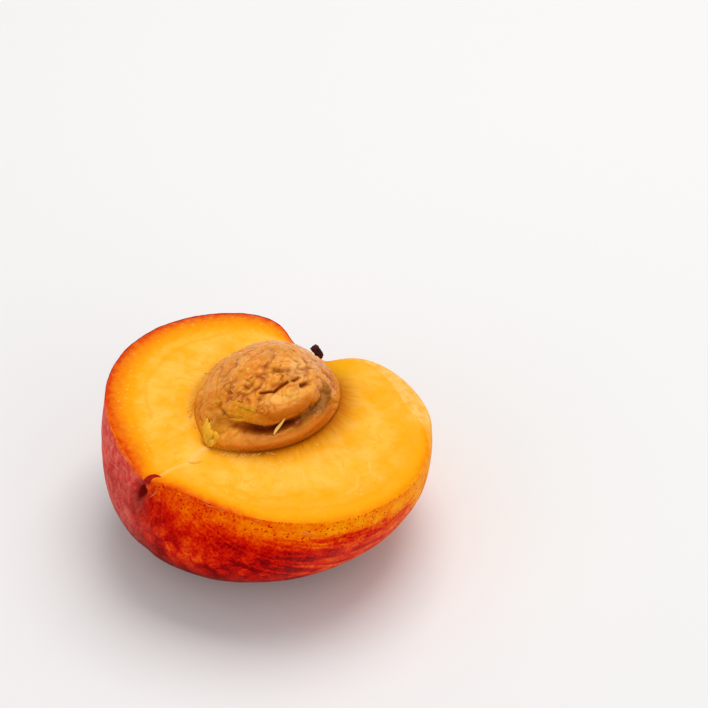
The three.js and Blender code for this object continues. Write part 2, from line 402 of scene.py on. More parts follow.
def blend(tree, amount, below, above):
    """One colour over another. Each is a socket, or red, green and blue from 0 to 255."""
    sockets = {0: amount}
    for place, shade in ((6, below), (7, above)):
        sockets[place] = colour(*shade) if isinstance(shade, tuple) else shade
    return put(tree, "ShaderNodeMix", sockets, data_type="RGBA").outputs[2]


def lay(tree, base, amount, weight, shade):
    """Lays a colour over the base by a mask, or the painted mark of that name, times a weight."""
    amount = painted(tree, amount) if isinstance(amount, str) else amount
    return blend(tree, maths(tree, "MULTIPLY", amount, weight, clamp=True), base, shade)


def colours_along(tree, value, stops):
    """A colour ramp. Each stop: its position from 0 to 1, and red, green and blue."""
    made = put(tree, "ShaderNodeValToRGB", {0: value})
    elements = made.color_ramp.elements
    while len(elements) < len(stops):
        elements.new(0.5)
    for element, (position, *shade) in zip(elements, stops):
        element.position, element.color = position, colour(*shade)
    return made.outputs[0]


def bumpy(tree, height, strength, distance=0.0003):
    """A normal that tilts as if the height stood up from the surface, by a distance in metres."""
    sockets = {"Height": height, "Strength": strength, "Distance": distance}
    return put(tree, "ShaderNodeBump", sockets).outputs[0]


# %% Shared node groups


def new_group(name, inputs):
    """A node group with a vector input called Place, further number inputs and one output called Mask."""
    group = bpy.data.node_groups.new(name, "ShaderNodeTree")
    group.interface.new_socket("Place", in_out="INPUT", socket_type="NodeSocketVector")
    for label in inputs:
        group.interface.new_socket(label, in_out="INPUT", socket_type="NodeSocketFloat")
    group.interface.new_socket("Mask", in_out="OUTPUT", socket_type="NodeSocketFloat")
    return group, group.nodes.new("NodeGroupInput").outputs, group.nodes.new("NodeGroupOutput").inputs["Mask"]


def scaled(tree, given):
    """The place divided by the size, so that a texture's features come out about that large."""
    sockets = {0: given["Place"], "Scale": maths(tree, "DIVIDE", 1.0, given["Size"])}
    return put(tree, "ShaderNodeVectorMath", sockets, operation="SCALE").outputs[0]


def make_clouds():
    """Soft mottling. From and To are the noise levels where the mask starts and is full."""
    group, given, mask = new_group("cloudy mottling", ["Size", "From", "To", "Detail"])
    sockets = {"Vector": scaled(group, given), "Scale": 1.0, "Detail": given["Detail"], "Distortion": 0.4}
    pattern = put(group, "ShaderNodeTexNoise", sockets).outputs[0]
    group.links.new(remap(group, pattern, given["From"], given["To"]), mask)
    return group


def make_specks():
    """Small round specks, of which only a share shows. Bias, from 0 to 1, says how many."""
    group, given, mask = new_group("small specks", ["Size", "Radius", "Bias"])
    cells = put(group, "ShaderNodeTexVoronoi", {"Vector": scaled(group, given), "Scale": 1.0})
    edge = maths(group, "MULTIPLY", given["Radius"], 0.55)
    dot = remap(group, cells.outputs["Distance"], edge, given["Radius"], 1.0, 0.0)
    chance = put(group, "ShaderNodeSeparateColor", {0: cells.outputs["Color"]}).outputs[0]
    shown = remap(group, maths(group, "SUBTRACT", given["Bias"], chance), 0.0, 0.08)
    group.links.new(maths(group, "MULTIPLY", dot, shown), mask)
    return group


def make_threads():
    """Thin wandering lines, where a noise field passes through its middle value."""
    group, given, mask = new_group("thin threads", ["Size", "Width"])
    pattern = put(group, "ShaderNodeTexNoise", {"Vector": scaled(group, given), "Scale": 1.0, "Detail": 2.0})
    away = maths(group, "ABSOLUTE", maths(group, "SUBTRACT", pattern.outputs[0], 0.5))
    group.links.new(remap(group, away, 0.0, given["Width"], 1.0, 0.0), mask)
    return group


GROUPS = {"clouds": make_clouds(), "specks": make_specks(), "threads": make_threads()}
print("shared effects:", ", ".join(group.name for group in GROUPS.values()))


def effect(tree, which, spot, **values):
    """One of the shared effects, placed in a material."""
    return put(tree, "ShaderNodeGroup", {"Place": spot, **values}, node_tree=GROUPS[which]).outputs["Mask"]


def clouds(tree, spot, size, low, high, detail):
    """Cloudy mottling: its size in mm, the noise levels where it starts and is full, and how fine it gets."""
    return effect(tree, "clouds", spot, Size=size, From=low, To=high, Detail=detail)


def new_material(name):
    """A material, its nodes, its Principled BSDF and the place on the fruit, in the fruit's own frame."""
    material = bpy.data.materials.new(name)
    material.use_nodes = True
    tree = material.node_tree
    return material, tree, tree.nodes["Principled BSDF"], painted(tree, "fruit", "Vector")


def finish(tree, shader, sockets):
    """Fills or links the sockets of the shader."""
    for name, value in sockets.items():
        plug(tree, shader.inputs[name], value)


# %% [markdown]
# ## The flesh and its skin
# The skin of a peach can't be taken off without the flesh, so both are one mesh with two materials. Its
# rings run up the skin from the bottom, round the edge of the cut, in over the cut to the stone, and down
# into the hollow that the stone fills. The rings are dense at the edge, where a knife leaves a tight,
# slightly torn corner.

# %% The face of the cut
AROUND = 448
SKIN_RINGS = 79
CUT_RINGS = 110
HOLLOW_RINGS = 10
HOLLOW_GAP = 0.06
EDGE_ROUND = 0.28
EDGE_RADIUS = 36
EDGE_STEPS = 6
SEAM = (3.3, 0.13, -11, -28)
SEAM_LINE = ((1.6, -25.9), (2.0, -23.4), (2.6, -20.8), (3.1, -18.8), (3.1, -17.4), (2.8, -15.5), (2.8, -12.4))
SEAM_NICK = ((3.1, -18.4), (4.0, -17.5), (4.5, -16.2))


def cut_height(x, y, inward):
    """Height of the cut: a low step along the seam, a hollow beside the stone, ripples and edges drawn in."""
    seam_x, seam_lean, start, end = SEAM
    side = x - seam_x - seam_lean * (y - start)
    along = ramp(y, end, end + 5) * (1 - ramp(y, start, start + 3))
    step = 0.55 * along * (0.5 - 0.5 * np.tanh(side / 0.5)) * bell(side, 9)
    ridge = 0.28 * bell(near_line(x, y, SEAM_LINE), 0.5) - 0.3 * bell(near_line(x, y, SEAM_NICK), 0.25)
    hollow = 1.1 * bell(np.hypot(x - 22, y - 15), 7)
    ripple = 0.16 * np.sin(x / 17 * 6.3) * np.cos(y / 17 * 5 + 1)
    inner = np.minimum(1, 8 * inward * (1 - inward))
    return (step + ridge - hollow + ripple) * inner - 0.35 * (1 - inward) ** 14


columns = np.arange(AROUND) * 360 / AROUND + TIP_AT
edge_start = math.degrees(math.asin(EDGE_ROUND / EDGE_RADIUS))
downs = edge_start + (90 - edge_start) * (1 - np.arange(1, SKIN_RINGS + 1) / SKIN_RINGS) ** 1.5
skin_rings = skin_point(columns, downs[:, None])
print("skin rings", skin_rings.shape)

# %% Round the edge and over the cut
rounds = np.radians(np.linspace(15, 90, EDGE_STEPS))
edge_below = np.degrees(np.arcsin(EDGE_ROUND * (1 - np.sin(rounds)) / EDGE_RADIUS))
edge_rings = skin_point(columns, edge_below[:, None])
inward_pull = EDGE_ROUND * (1 - np.cos(rounds))[:, None]
edge_rings[..., 0] -= inward_pull * cosd(columns)
edge_rings[..., 1] -= inward_pull * sind(columns)

column_turns = stone_turned(columns)
mouth = stone_place(column_turns, 0 * columns, stone_outline(column_turns) + HOLLOW_GAP)
steps = np.arange(1, CUT_RINGS + 1)[:, None] / CUT_RINGS
shares = steps - np.sin(2 * np.pi * steps) * 0.09
cut_rings = edge_rings[-1] + (mouth - edge_rings[-1]) * shares[..., None]
cut_rings[..., 2] = cut_height(cut_rings[..., 0], cut_rings[..., 1], shares)
edge_rings[..., 2] += cut_rings[0, :, 2] * np.sin(rounds)[:, None]

drops = -90 * np.arange(1, HOLLOW_RINGS) / HOLLOW_RINGS
hollow_turned, hollow_lift = np.meshgrid(column_turns, drops)
hollow_rings = stone_place(hollow_turned, hollow_lift, stone_body(hollow_turned, hollow_lift) + HOLLOW_GAP)
rings = np.concatenate([skin_rings, edge_rings, cut_rings, hollow_rings])
print("flesh rings", rings.shape)

# %% Small unevenness, as a knife and ripeness leave it
flat_rings = len(skin_rings) + len(edge_rings)
row_index = np.arange(len(rings))[:, None]
on_cut = slice(flat_rings, flat_rings + CUT_RINGS)
on_face = (row_index >= on_cut.start) & (row_index < on_cut.stop)
edge = rings[flat_rings - 1] * (1, 1, 0)
from_edge = np.linalg.norm(rings[..., :2] - edge[:, :2], axis=-1)
torn = (0.16 * rough(edge, 1.6, 1) + 0.2 * rough(edge, 5, 2)) * (1 - 0.6 * bell(turn(columns, TIP_AT), 12))
near_edge = np.exp(-from_edge / 0.9) * (row_index < on_cut.stop)
outward = np.stack([cosd(columns), sind(columns), 0 * columns], -1)
rings += outward * (torn * near_edge)[..., None]

cut_points = rings[on_cut]
face = 0.05 * rough(cut_points, 2.2, 3) + 0.025 * rough(cut_points, 0.8, 4)
fibres = np.stack(np.broadcast_arrays(14 * cosd(columns), 14 * sind(columns), 3 * shares), -1)
from_stone = np.linalg.norm(cut_points[..., :2] - mouth[:, :2], axis=-1)
face += 0.14 * rough(fibres, 0.8, 5) * bell(from_stone, 3.2) * np.minimum(from_stone / 0.3, 1)
rings[on_cut, :, 2] += face * np.minimum(1, shares * 30) * np.minimum(1, (1 - shares) * 40)


def welt(angle, below, width):
    """A raised slanting line on the skin left of the tip."""
    return bell(turn(angle, 250 + 0.9 * below), width) * bell(below - 8, 6)


middle = np.array([*CENTRE, 0])
fold = bell(turn(columns, 265.3), 1.5) * bell(downs[:, None] - 3.5, 3.6)
skin_bumps = 0.12 * rough(skin_rings, 9, 6) + 0.03 * rough(skin_rings, 2.5, 7)
skin_bumps = skin_bumps + 0.75 * fold + 0.35 * welt(columns, downs[:, None], 2.6)
fade = (ramp(downs, edge_start, 4) * (1 - ramp(downs, 60, 80)))[:, None]
rings[:len(skin_rings)] += unit(skin_rings - middle) * (skin_bumps * fade)[..., None]
print("tears along the edge reach", round(float(np.abs(torn).max()), 2), "mm")

# %% Make the mesh and split it into skin and flesh
hollow_floor = np.array([*STONE_CENTRE, -STONE_DROP[0] - HOLLOW_GAP])
flesh_mesh = closed_mesh("peach_flesh", bottom, rings, hollow_floor)
skin_faces = AROUND * (flat_rings - 2)
slots = (np.arange(len(flesh_mesh.polygons)) >= skin_faces).astype(np.int32)
print("skin faces:", skin_faces, "flesh faces:", len(slots) - skin_faces)

# %% [markdown]
# ### Painting where things are
# The shaders need to know more than a place: how near the flesh is to the skin and to the stone, how red the
# blush is here, and which way the fruit's meridians run, because streaks of blush follow them from stem to
# blossom tip. Such marks are worked out once, from the angles that made the rings, and kept on the vertices.

# %% Distances and directions
FAR_OFF = 20.0
skin_below = np.zeros(rings.shape[:2])
skin_below[:flat_rings] = np.concatenate([downs, edge_below])[:, None]
from_skin = np.where(row_index >= flat_rings, from_edge, 0)
to_stone = np.full(rings.shape[:2], FAR_OFF)
to_stone[on_cut] = from_stone
to_stone[on_cut.stop:] = 0
longitude = np.degrees(np.arctan2(-rings[..., 2], rings[..., 0] - CENTRE[0]))
meridian = np.stack([30 * cosd(longitude), rings[..., 1] / 7, 30 * sind(longitude)], -1)
radial = np.stack(np.broadcast_arrays(14 * cosd(columns), 14 * sind(columns), to_stone / 6), -1)
paint(flesh_mesh, "meridian", with_ends(meridian, (0, 0, 30), (0, 0, 0)))
paint(flesh_mesh, "radial", with_ends(radial, (0, 0, 0), (0, 0, 0)))
print("the cut is up to", round(float(from_skin[on_cut].max()), 1), "mm wide from the skin to the stone")

# %% How red the skin is
# Each row: direction round the cut, redness at the edge, where below it this changes, redness deeper down.
BLUSH = ((205, 0.58, 5, 0.84), (225, 0.40, 2.5, 0.80), (252, 0.34, 3, 0.82), (263, 0.50, 9, 0.84),
         (274, 0.46, 6, 0.77), (282, 0.41, 10, 0.79), (292, 0.50, 9, 0.76), (304, 0.40, 7, 0.79),
         (318, 0.28, 7, 0.72), (335, 0.15, 7, 0.61), (352, 0.13, 6, 0.54), (370, 0.09, 7, 0.45),
         (390, 0.03, 13, 0.36), (420, 0.02, 26, 0.40), (455, 0.10, 24, 0.62), (480, 0.55, 12, 0.74),
         (515, 0.78, 6, 0.84), (545, 0.74, 4, 0.86), (565, 0.58, 5, 0.84))
# Patches that are redder or less red than that, in rows for patches. The redder ones low down, at 285 and
# 316, are partly deeper blush and partly painted shade on the underside.
BLUSH_AND_SHADE_PATCHES = ((-0.08, 338, 30, 25, 8), (0.2, 285, 70, 38, 14), (0.1, 270, 9, 20, 9),
                 (0.12, 316, 34, 25, 9), (-0.1, 279, 14, 27, 8), (0.16, 329, 15, 18, 7),
                 (0.04, 295, 36, 24, 9), (-0.24, 60, 90, 62, 22))


def blush_of(angle, below):
    """0 is yellow skin and 1 is crimson. The sunny side is red, and the stem's shoulders stay golden."""
    places, *rows = np.array(BLUSH).T
    round_cut = (angle - places[0]) % 360 + places[0]
    edge_red, change, deep_red = (np.interp(round_cut, places, row) for row in rows)
    red = edge_red + (deep_red - edge_red) * ramp(below, change * 0.45, change * 1.6 + 1)
    return red + patches(angle, below, *BLUSH_AND_SHADE_PATCHES)


def fuzz_and_sheen_of(angle, below):
    """Where pale fuzz makes the blush look cool and rosy, partly its colour and partly a painted sheen; the
    welt gets a painted highlight.
    """
    past_tip = turn(angle, 262)
    pink_fuzz_and_sheen = ramp(past_tip, -120, -52) * (1 - ramp(past_tip, -7, 7)) * ramp(below, 1.0, 3.6)
    pink_fuzz_and_sheen = pink_fuzz_and_sheen * (1 - 0.3 * ramp(below, 9, 14)) + 0.9 * welt(angle, below, 4)
    pink_fuzz_and_sheen = pink_fuzz_and_sheen + 0.5 * span(angle, 236, 270, 20) * ramp(below, 16, 24)
    pink_fuzz_and_sheen = pink_fuzz_and_sheen + 0.2 * span(angle, 330, 385, 30) * ramp(below, 9, 14)
    return np.clip(pink_fuzz_and_sheen, 0, 1)


blush = blush_of(columns, skin_below)
underside = ramp(skin_below, 22, 40) * span(columns, 150, 400, 60)
paint_marks(flesh_mesh, {
    "blush": blush,
    # Cool fuzz colour, partly its own and partly a painted sheen, with a painted highlight on the welt.
    "pink_fuzz_and_sheen": fuzz_and_sheen_of(columns, skin_below),
    "pale": np.clip(lip_width(columns) / 2.2, 0, 1) * (1 - ramp(skin_below, 3, 17)),
    # The pocket under the tip is darkened: partly its deep blush, partly painted shade.
    "pocket_shade_and_blush": patches(columns, skin_below, (1.25, 262, 2.5, 9, 4.6), (0.3, 267, 1.0, 6, 4)),
    "streaky": span(columns, 322, 392, 26) * ramp(skin_below, 3, 8) + 0.3,
    "spotted": patches(columns, skin_below, (1, 292, 36, 24, 10)),
    "dotted": 1 - ramp(blush, 0.3, 0.75),
    "shaded": underside + patches(columns, skin_below, (0.4, 256, 16, 19, 8)),
    "red_edge": span(columns, 112, 214, 16) * (1 - ramp(skin_below, 0.6, 2.2)),
}, last=0)
print("blush runs from", round(float(blush.min()), 2), "to", round(float(blush.max()), 2))

# %% [markdown]
# ### The skin's material
# Under the fuzz the skin is yellow, and the blush lies over it as countless red dots that merge where the
# sun was strong. So one number, the redness, is built up from the painted blush, mottles, streaks and dots,
# and a colour ramp turns it into yellow, orange, red and crimson. The fuzz is partly a cool pink laid over
# the blush in tufts, which is partly its own colour and partly a painted sheen where the skin turns away,
# and partly the shader's sheen, which brightens the surface where it turns away from the eye. The pocket
# under the tip is darkened, partly as deep blush and partly as painted shade, and the underside is painted
# shade.

# %% Skin material
SKIN_COLOURS = ((0.0, 255, 166, 0), (0.2, 252, 132, 0), (0.4, 241, 96, 0), (0.58, 226, 55, 0),
                (0.74, 209, 18, 0), (0.9, 170, 0, 2), (1.0, 122, 0, 4))


def make_skin():
    material, tree, shader, spot = new_material("peach_skin")
    grain = painted(tree, "meridian", "Vector")

    def times(a, b):
        return maths(tree, "MULTIPLY", a, b)

    mottle = clouds(tree, spot, 3.0, 0.34, 0.66, 4)
    fine = clouds(tree, spot, 0.6, 0.34, 0.68, 2)
    streaks = clouds(tree, grain, 0.8, 0.38, 0.62, 2)
    streaks = maths(tree, "ADD", streaks, clouds(tree, grain, 2.4, 0.42, 0.60, 1))
    dots = effect(tree, "specks", spot, Size=0.78, Radius=0.35, Bias=0.6)
    round_spots = effect(tree, "specks", spot, Size=3.5, Radius=0.66, Bias=0.95)
    red = painted(tree, "blush")
    for mask, weight in ((maths(tree, "SUBTRACT", mottle, 0.5), 0.15),
                         (maths(tree, "SUBTRACT", fine, 0.5), 0.18),
                         (times(maths(tree, "SUBTRACT", streaks, 0.9), painted(tree, "streaky")), 0.19),
                         (times(dots, painted(tree, "dotted")), 0.5),
                         (times(round_spots, painted(tree, "spotted")), -0.25),
                         (times(clouds(tree, spot, 2.8, 0.50, 0.60, 3), painted(tree, "spotted")), -0.12),
                         (painted(tree, "red_edge"), 0.3)):
        red = maths(tree, "ADD", red, times(mask, weight))
    base = colours_along(tree, red, SKIN_COLOURS)
    # The fuzz's cool colour in tufts, partly its own and partly a painted sheen where the skin turns away.
    hairs = times(clouds(tree, grain, 0.8, 0.30, 0.72, 2), 0.35)
    tufts = times(clouds(tree, spot, 1.5, 0.34, 0.66, 3), 0.65)
    cool = blend(tree, maths(tree, "ADD", hairs, tufts), (218, 32, 42), (255, 132, 108))
    base = lay(tree, base, "pink_fuzz_and_sheen", 0.85, lay(tree, cool, mottle, 0.36, (160, 14, 40)))
    cream = blend(tree, clouds(tree, spot, 1.6, 0.20, 0.80, 4), (240, 168, 40), (253, 200, 112))
    base = lay(tree, base, "pale", 1.0, cream)
    base = lay(tree, base, "shaded", 0.7, (104, 14, 0))
    # Darkens the pocket under the tip, partly deep blush and partly painted shade.
    base = blend(tree, maths(tree, "MINIMUM", painted(tree, "pocket_shade_and_blush"), 0.95), base, (104, 0, 4))
    finish(tree, shader, {"Base Color": base, "Roughness": remap(tree, mottle, 0.0, 1.0, 0.5, 0.62),
                          "Normal": bumpy(tree, clouds(tree, spot, 0.35, 0.2, 0.8, 3), 0.10),
                          "Specular IOR Level": 0.04, "Specular Tint": colour(255, 150, 90),
                          "Sheen Weight": 0.03, "Sheen Roughness": 0.3, "Sheen Tint": colour(255, 160, 120)})
    return material


skin_material = make_skin()
print("made", skin_material.name)

# %% [markdown]
# ### The flesh's material
# The cut face is juicy, so light goes a little way in before it comes out: that is subsurface scattering.
# Its colour is gold with paler clouds, partly its own tone and partly a painted soft reflection of the wet
# cut, and a few darker veins, one of which follows the outline of the fruit. It turns deep orange close to
# the red skin, and olive in the fibres next to the stone, an olive that is partly painted shade, with a
# painted contact shadow right against the stone. Its pale flecks of cut fibre are partly painted wet glints.

# %% Where the flesh changes colour
VEINS = (((-14, 29), (-20, 20), (-23, 12), (-23, 3), (-21, -5), (-17, -9), (-12, -13)),
         ((-21, -5), (-19, -8), (-20, -12)),
         ((10, -21), (14, -18), (20, -17), (25, -12.5)),
         ((8, -19), (14, -20), (22, -19), (30, -13), (35, -6), (38, 2), (37, 8)))
PALE_VEINS = (((31, 9), (33, 6), (31.5, 3.5), (34, 1), (33.5, -3)), ((33, 6), (35.5, 6.5)))
plan_x, plan_y = rings[..., 0], rings[..., 1]
wander_x = plan_x + 0.8 * rough(rings * (1, 1, 0), 4, 31)
wander_y = plan_y + 0.8 * rough(rings * (1, 1, 0), 4, 32)


def drawn(x, y, lines, width):
    """Lines drawn on the cut: 1 on a line, falling off softly beside it."""
    return np.max([bell(near_line(x, y, line), width) for line in lines], axis=0) * on_face


red_side = span(columns, 98, 262, 26)
reddest = np.maximum(red_side, 0.8 * span(columns, 262, 306, 16))
edge_amount = (0.42 + 0.58 * reddest) * (1 - 0.9 * np.clip(lip_width(columns) / 1.5, 0, 1))
# Where pale flecks of cut fibre go, which also serve as painted wet glints.
flecks_and_glints = red_side * bell(from_skin - 4, 2.6) + bell(to_stone, 3.5) * span(columns, 120, 250, 40)
stone_angle = np.degrees(np.arctan2(plan_y - STONE_CENTRE[1], plan_x - STONE_CENTRE[0]))
# The olive ring by the stone is partly the fibres' own colour and partly painted shade; it reaches furthest
# on the stone's +x side.
olive_and_shade_reach = 1.7 + 2.2 * span(stone_angle, -50, 75, 60) + 0.9 * span(stone_angle, -84, -40, 20)
olive_and_shade = bell(to_stone, olive_and_shade_reach) * (0.75 + 0.25 * span(stone_angle, -60, 60, 50))
paint_marks(flesh_mesh, {
    "orange": edge_amount * np.exp(-(from_skin / (1.5 + 1.9 * red_side)) ** 1.2),
    "glow": bell(from_skin, 8.0 - 4.2 * reddest) * (1 - 0.7 * np.clip(lip_width(columns) / 3, 0, 1)),
    "vein": drawn(wander_x, wander_y, VEINS, 0.5),
    "pale_vein": drawn(wander_x, wander_y, PALE_VEINS, 0.17),
    "seam": drawn(plan_x, plan_y, [SEAM_LINE], 0.28 + 0.45 * ramp(plan_y, -19, -16)),
    "nick": drawn(plan_x, plan_y, [SEAM_NICK], 0.22),
    "olive_and_shade": olive_and_shade * (1 - 0.75 * span(stone_angle, -118, -86, 14)),
    "golden": bell(np.hypot(plan_x - 6.5, plan_y - 30), 4.6) * on_face,
    # Painted contact shadow right against the stone.
    "contact_shadow": 0.9 * np.exp(-to_stone / 1.6) * span(stone_angle, -70, 70, 50),
    "flecks_and_glints": flecks_and_glints * on_face,
}, first=0, last=0)

# %% Flesh material
RIM_COLOURS = ((0.0, 252, 171, 10), (0.22, 250, 158, 0), (0.45, 240, 134, 0), (0.75, 230, 102, 0),
               (1.0, 214, 62, 0))


def make_flesh():
    material, tree, shader, spot = new_material("peach_flesh")
    fibre = painted(tree, "radial", "Vector")
    base = blend(tree, clouds(tree, spot, 8.0, 0.36, 0.64, 2), (251, 174, 24), (252, 187, 58))
    # Paler clouds: partly the flesh's own uneven tone, partly a painted soft reflection of the wet cut.
    base = lay(tree, base, clouds(tree, spot, 4.2, 0.34, 0.78, 4), 0.5, (253, 202, 100))
    base = lay(tree, base, clouds(tree, fibre, 0.7, 0.44, 0.66, 3), 0.22, (250, 164, 0))
    base = lay(tree, base, "glow", 0.9, (251, 164, 0))
    base = lay(tree, base, "golden", 0.8, (240, 172, 0))
    threads = effect(tree, "threads", spot, Size=9.0, Width=0.014)
    threads = maths(tree, "MULTIPLY", threads, clouds(tree, spot, 6.0, 0.46, 0.60, 1))
    base = lay(tree, base, maths(tree, "MAXIMUM", threads, painted(tree, "vein")), 0.5, (249, 162, 0))
    uneven = remap(tree, clouds(tree, spot, 1.5, 0.25, 0.75, 3), 0.0, 1.0, 0.82, 1.12)
    tint = maths(tree, "MULTIPLY", painted(tree, "orange"), uneven)
    base = blend(tree, remap(tree, tint, 0.02, 0.2), base, colours_along(tree, tint, RIM_COLOURS))
    fibrous = clouds(tree, fibre, 0.6, 0.30, 0.70, 2)
    olive_and_shade_colour = lay(tree, blend(tree, fibrous, (204, 116, 0), (224, 146, 4)), "golden", 1.0, (226, 158, 0))
    # Pale flecks of cut fibre that are partly painted glints of the wet cut.
    strokes = effect(tree, "specks", fibre, Size=0.24, Radius=0.3, Bias=0.3)
    strokes = maths(tree, "MULTIPLY", strokes, painted(tree, "flecks_and_glints"))
    pale_flecks_and_glints = maths(tree, "MAXIMUM", effect(tree, "specks", spot, Size=2.1, Radius=0.11, Bias=0.16), strokes)
    # Olive, partly painted shade, and a painted contact shadow by the stone; then seam, nick, pale veins and
    # flecks.
    for amount, weight, shade in (("olive_and_shade", 1.0, olive_and_shade_colour), ("contact_shadow", 1.0, (168, 84, 0)),
                                  ("seam", 0.65, (252, 198, 110)), ("nick", 0.5, (212, 112, 6)),
                                  ("pale_vein", 0.6, (252, 194, 96)), (pale_flecks_and_glints, 0.55, (255, 212, 136))):
        base = lay(tree, base, amount, weight, shade)
    grain = maths(tree, "MULTIPLY", clouds(tree, spot, 0.5, 0.2, 0.8, 4), 0.5)
    height = maths(tree, "ADD", grain, maths(tree, "MULTIPLY", fibrous, painted(tree, "olive_and_shade")))
    wet = clouds(tree, spot, 3.5, 0.35, 0.65, 2)
    finish(tree, shader, {"Base Color": base, "Roughness": remap(tree, wet, 0.0, 1.0, 0.28, 0.44),
                          "Normal": bumpy(tree, height, 0.25, 0.0004),
                          "Specular IOR Level": 0.1, "Specular Tint": colour(255, 186, 70),
                          "Subsurface Weight": 0.2, "Subsurface Radius": (1.0, 0.4, 0.1),
                          "Subsurface Scale": 0.0014})
    return material


flesh_material = make_flesh()
flesh = piece("peach_flesh", flesh_mesh, skin_material, flesh_material)
flesh.data.polygons.foreach_set("material_index", slots)
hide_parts("flesh")

# %% [markdown]
# ## The stone
# A peach stone is a woody ovoid whose surface is worn into lumps, furrows and pits. A keel runs along the
# suture side with a deep groove above it and a raised tongue above that. These large forms come from the same
# sizes as the solid, and a few more creases are listed. Between them noise makes the small relief: its
# absolute value is a field of rounded lumps that meet in sharp creases, much as the wood's do.

# %% Relief of the stone
GROOVE_LIFT = ((48, 27), (56, 26), (69, 23.5), (80, 22), (88, 22), (102, 23), (112, 21.5), (120, 19.5),
               (129, 17), (142, 15), (150, 14.8), (164, 15.5), (178, 15.5))
# Each crease: depth, half-width, and its corners as (along, across) from the stone's middle, tip at -along.
PITS = ((1.1, 0.28, ((-8.7, 3.5), (-7.2, 4.6), (-6.1, 5.5), (-3.0, 5.8), (-1.8, 5.9))),
        (1.1, 0.36, ((-0.4, 6.4), (0.7, 6.6), (1.4, 6.6))), (1.6, 0.42, ((0.4, 8.2), (1.0, 8.3), (2.0, 8.4))),
        (0.9, 0.40, ((7.2, 0.4), (7.8, 0.1))), (0.7, 0.60, ((-1.9, 2.0), (-0.9, 3.2), (0.7, 4.2))),
        (0.6, 0.38, ((-11.6, 2.2), (-11.7, 3.1))), (0.6, 0.80, ((-9.8, 0.3), (-8.5, 0.7))))
CREASES = ((0.9, 0.45, ((-15.4, -2.3), (-16.1, -1.1), (-16.7, 0.0))),
           (0.5, 0.45, ((-15.9, -4.6), (-16.2, -4.0))), (0.6, 0.50, ((-18.2, -2.5), (-18.0, -1.9))),
           (0.5, 0.40, ((-12.4, -2.4), (-12.0, -2.0))), (0.4, 0.35, ((-10.9, 5.8), (-10.7, 6.2))),
           (0.35, 0.22, ((-8.8, -8.2), (-12.0, -5.9), (-14.1, -4.6))),
           (0.4, 0.40, ((-9.1, 7.0), (-8.7, 7.4))), (0.7, 0.35, ((-18.9, 3.4), (-17.8, 2.6), (-17.2, 3.2))),
           (0.6, 0.30, ((-20.2, 1.2), (-19.2, 1.6), (-18.6, 2.4))), (0.5, 0.30, ((-17.6, 4.6), (-16.8, 5.0))))
SHOULDER = (1.95, 20, 28, 23, 19.5)  # a row for patches
BILLOW_MIDDLE = 0.35


def keel_crest(turned):
    """Lift at which the keel's crest ends. It climbs towards the stem."""
    return 11 + 0.0015 * np.maximum(150 - turned % 360, 0) ** 2


def groove_lift(turned):
    """Lift of the middle of the groove above the keel."""
    return np.interp(turned % 360, *np.array(GROOVE_LIFT).T)


def band(turned, lift, start, end, fade, above, width):
    """A soft band between two turns, whose middle runs a number of degrees above the keel's crest."""
    return span(turned, start, end, fade) * bell(lift - keel_crest(turned) - above, width)


def from_above(turned, lift, radius):
    """Distances along and across the stone, from its middle."""
    return radius * cosd(lift) * cosd(turned), radius * cosd(lift) * sind(turned)


def large_relief(turned, lift, radius):
    """Keel, groove, tongue, the low shoulder at the stem end and the creases, as a change of radius."""
    uneven = 1 + 0.22 * sind(5 * turned) + 0.12 * sind(13 * turned + 40)
    groove = 2.2 * span(turned, 120, 170, 26) + 0.7 * span(turned, 80, 120, 30)
    relief = 0.8 * uneven * band(turned, lift, 52, 178, 30, -3, 5.0)
    relief = relief - groove * bell(lift - groove_lift(turned), 3.3)
    relief = relief - 0.5 * band(turned, lift, 44, 90, 24, 3, 2.6)
    relief = relief + band(turned, lift, 66, 174, 40, 18, 8) - patches(turned, lift, SHOULDER)
    for depth, half, corners in PITS + CREASES:
        relief = relief - depth * bell(near_line(*from_above(turned, lift, radius), corners), half)
    return relief


def billow(points, size, seed):
    """Rounded lumps that meet in sharp creases, about as far above 0 as below it."""
    warp = np.stack([rough(points, size * 1.7, seed + step) for step in (0.3, 0.5, 0.7)], -1)
    return np.abs(rough(points + warp * size * 0.5, size, seed)) ** 0.68 - BILLOW_MIDDLE


def fine_relief(points, turned, lift):
    """Lumps, furrows and grit, calmer on the keel and the tongue, and a clump at the tip."""
    stretched = points * (1, 0.66, 1)
    on_keel = span(turned, 70, 160, 24) * (1 - ramp(lift - keel_crest(turned), -1, 3))
    calm = 1 - 0.72 * on_keel - 0.5 * band(turned, lift, 66, 146, 30, 17, 9)
    calm = calm * (0.62 + 0.38 * span(turned, 20, 205, 60))
    lumps = 0.45 * rough(stretched, 5, 11) + 0.85 * billow(stretched, 2.9, 12)
    lumps = lumps + 0.6 * billow(stretched, 1.5, 13) + 0.1 * billow(points, 0.8, 14)
    return calm * lumps + patches(turned, lift, (1, 183, 9, 6, 6)) * (0.45 + 0.5 * billow(points, 1.6, 15))


print("creases set by hand:", len(PITS + CREASES))

# %% Stone mesh
STONE_AROUND = 400
stone_lifts = np.concatenate([np.linspace(-84, -6, 14), np.linspace(0, 34, 70), np.linspace(34.7, 89.4, 86)])
turned, lift = np.meshgrid(-np.arange(STONE_AROUND) * 360 / STONE_AROUND, stone_lifts)
radius = stone_body(turned, lift)
fade = ramp(lift, 0, 6)
small = fine_relief(stone_place(turned, lift, radius), turned, lift)
large = large_relief(turned, lift, radius)
stone_rings = stone_place(turned, lift, radius + (large + small) * fade)
stone_low = np.array([*STONE_CENTRE, -STONE_DROP[0]])
stone_mesh = closed_mesh("peach_stone", stone_low, stone_rings, stone_rings[-1].mean(0))
relief = large + small
print("relief from", round(float(relief.min()), 2), "to", round(float(relief.max()), 2), "mm")
